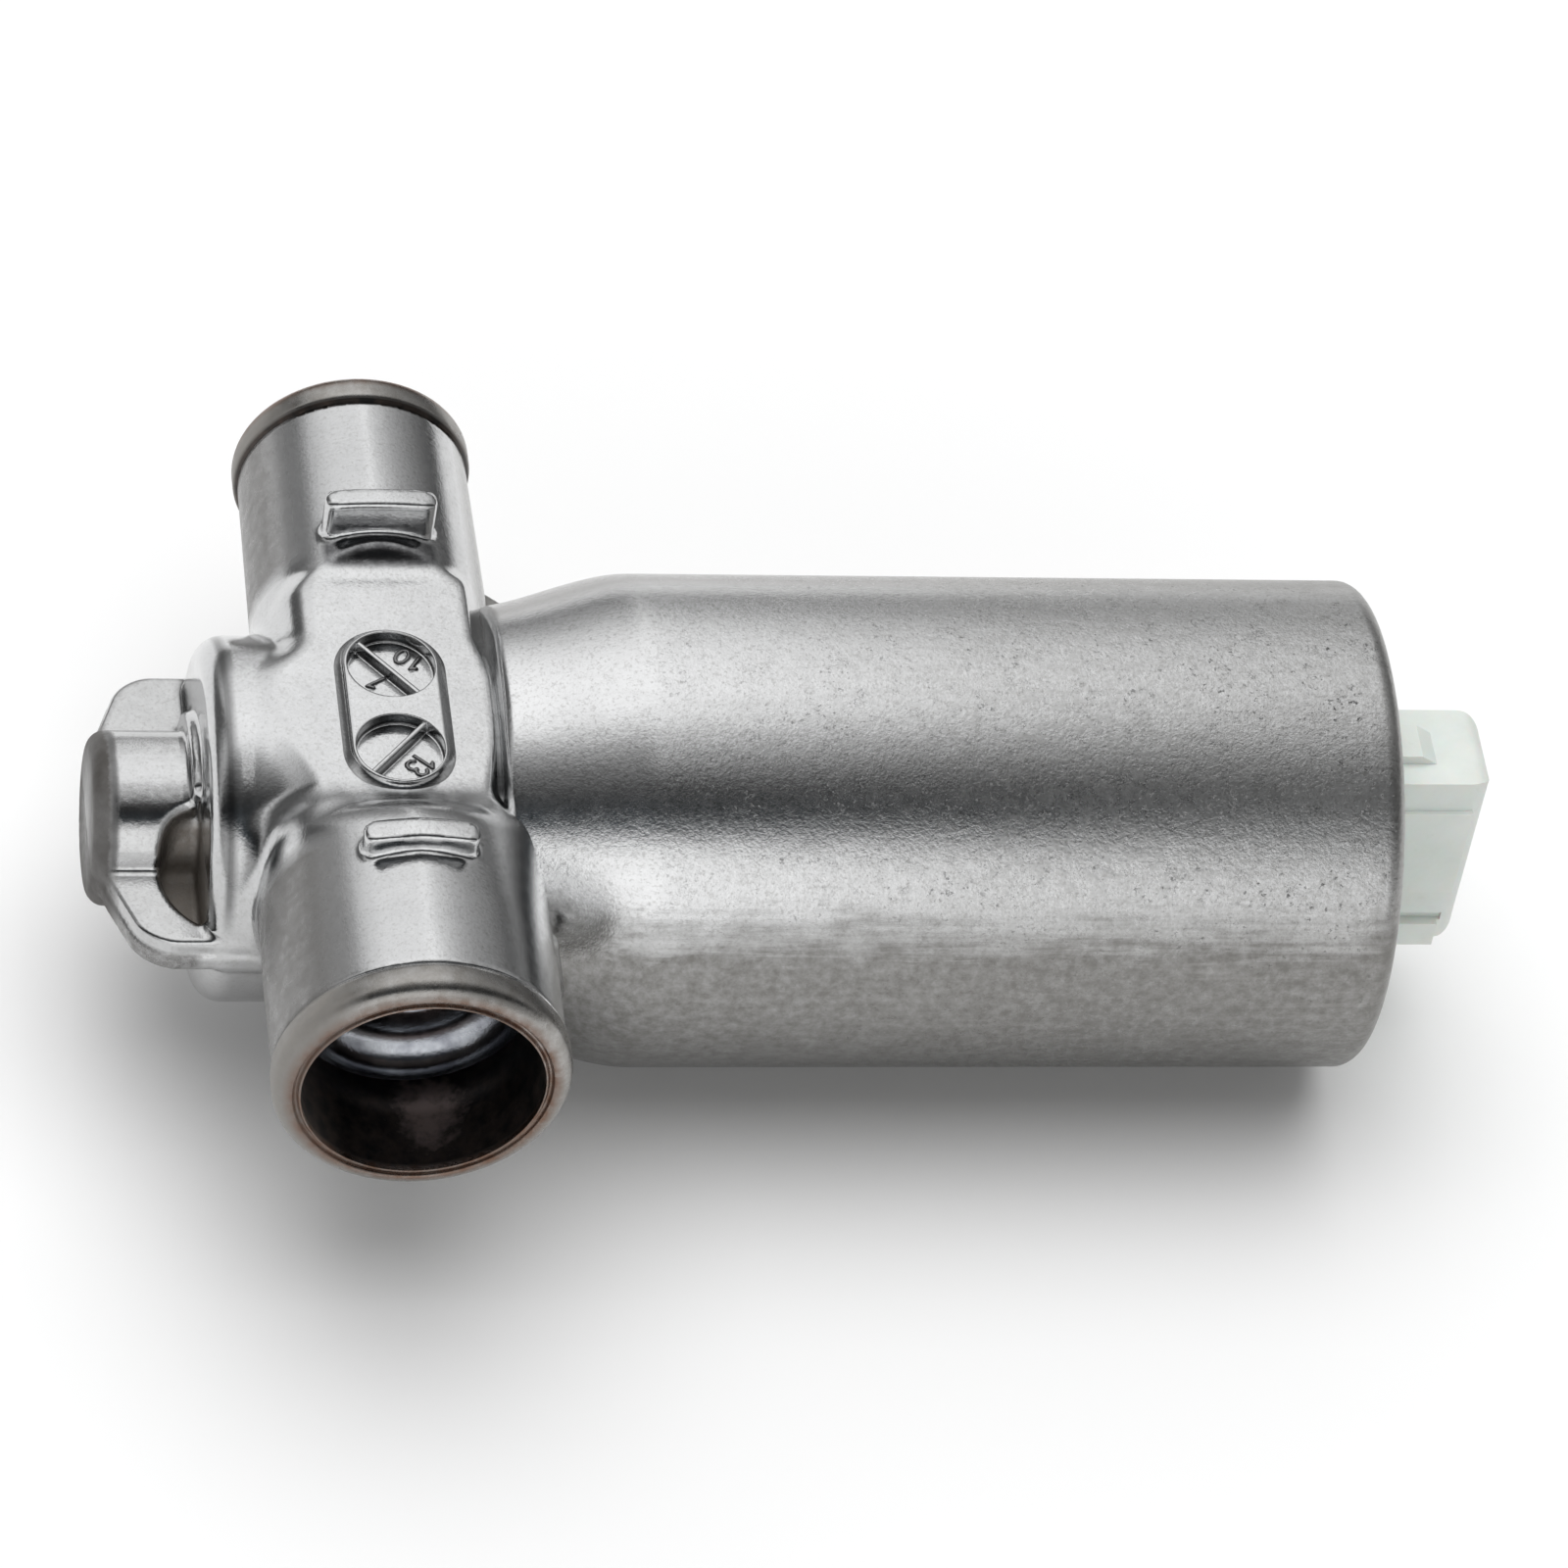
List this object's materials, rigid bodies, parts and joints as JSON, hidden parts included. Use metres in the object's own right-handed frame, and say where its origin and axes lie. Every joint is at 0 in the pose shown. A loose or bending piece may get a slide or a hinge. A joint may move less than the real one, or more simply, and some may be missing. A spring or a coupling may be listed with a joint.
{
  "type": "idle air control valve",
  "caption": "Rotary idle air control valve: cast body with two opposed hose nipples, round motor barrel and plastic plug, rotary slider inside.",
  "frame": {"origin": "on the shaft axis, under the axis of the two nipples", "axes": "+X along the shaft towards the plug, -Y along the wide nipple, +Y along the slim nipple, +Z normal to the pad with the date dials"},
  "size_m": [0.1424, 0.0868, 0.0501],
  "materials": {
    "cast_aluminium": "tumbled casting, satin",
    "nylon": "milky white nylon",
    "steel": "ground",
    "iron": "dull iron",
    "ferrite": "sintered ferrite",
    "copper_wire": "lacquered copper wire",
    "copper": "bare copper",
    "bronze": "sintered bronze",
    "carbon": "pressed carbon",
    "dark_plastic": "moulded thermoset",
    "rubber": "moulded rubber"
  },
  "bodies": {
    "housing": {"valve_housing": "cast_aluminium", "end_bush": "bronze", "partition_plate": "cast_aluminium", "shaft_seal": "rubber", "partition_ring": "steel", "flux_ring": "iron", "magnet_front": "ferrite", "magnet_back": "ferrite", "magnet_clips": "steel", "brush_1": "carbon", "brush_2": "carbon", "brush_3": "carbon", "brush_spring_1": "bronze", "brush_spring_2": "bronze", "brush_spring_3": "bronze", "brush_plate": "dark_plastic", "bearing_outer": "steel", "bearing_balls": "steel", "bearing_cage": "bronze", "wave_washer": "steel", "connector_cap": "nylon", "cap_seal": "rubber", "terminal_1": "copper", "terminal_2": "copper", "terminal_3": "copper"},
    "rotor": {"rotary_slider": "steel", "slider_pin": "steel", "armature_shaft": "steel", "armature_core": "iron", "winding_front": "copper_wire", "winding_back": "copper_wire", "contact_carrier": "dark_plastic", "contact_1": "copper", "contact_2": "copper", "contact_3": "copper", "bearing_inner": "steel", "shaft_clip": "steel"}
  },
  "joints": [
    {"name": "rotor_turn", "type": "hinge", "parent": "housing", "child": "rotor", "pos_m": [0, 0, 0], "axis": [1, 0, 0], "range_deg": [-30, 30]}
  ]
}
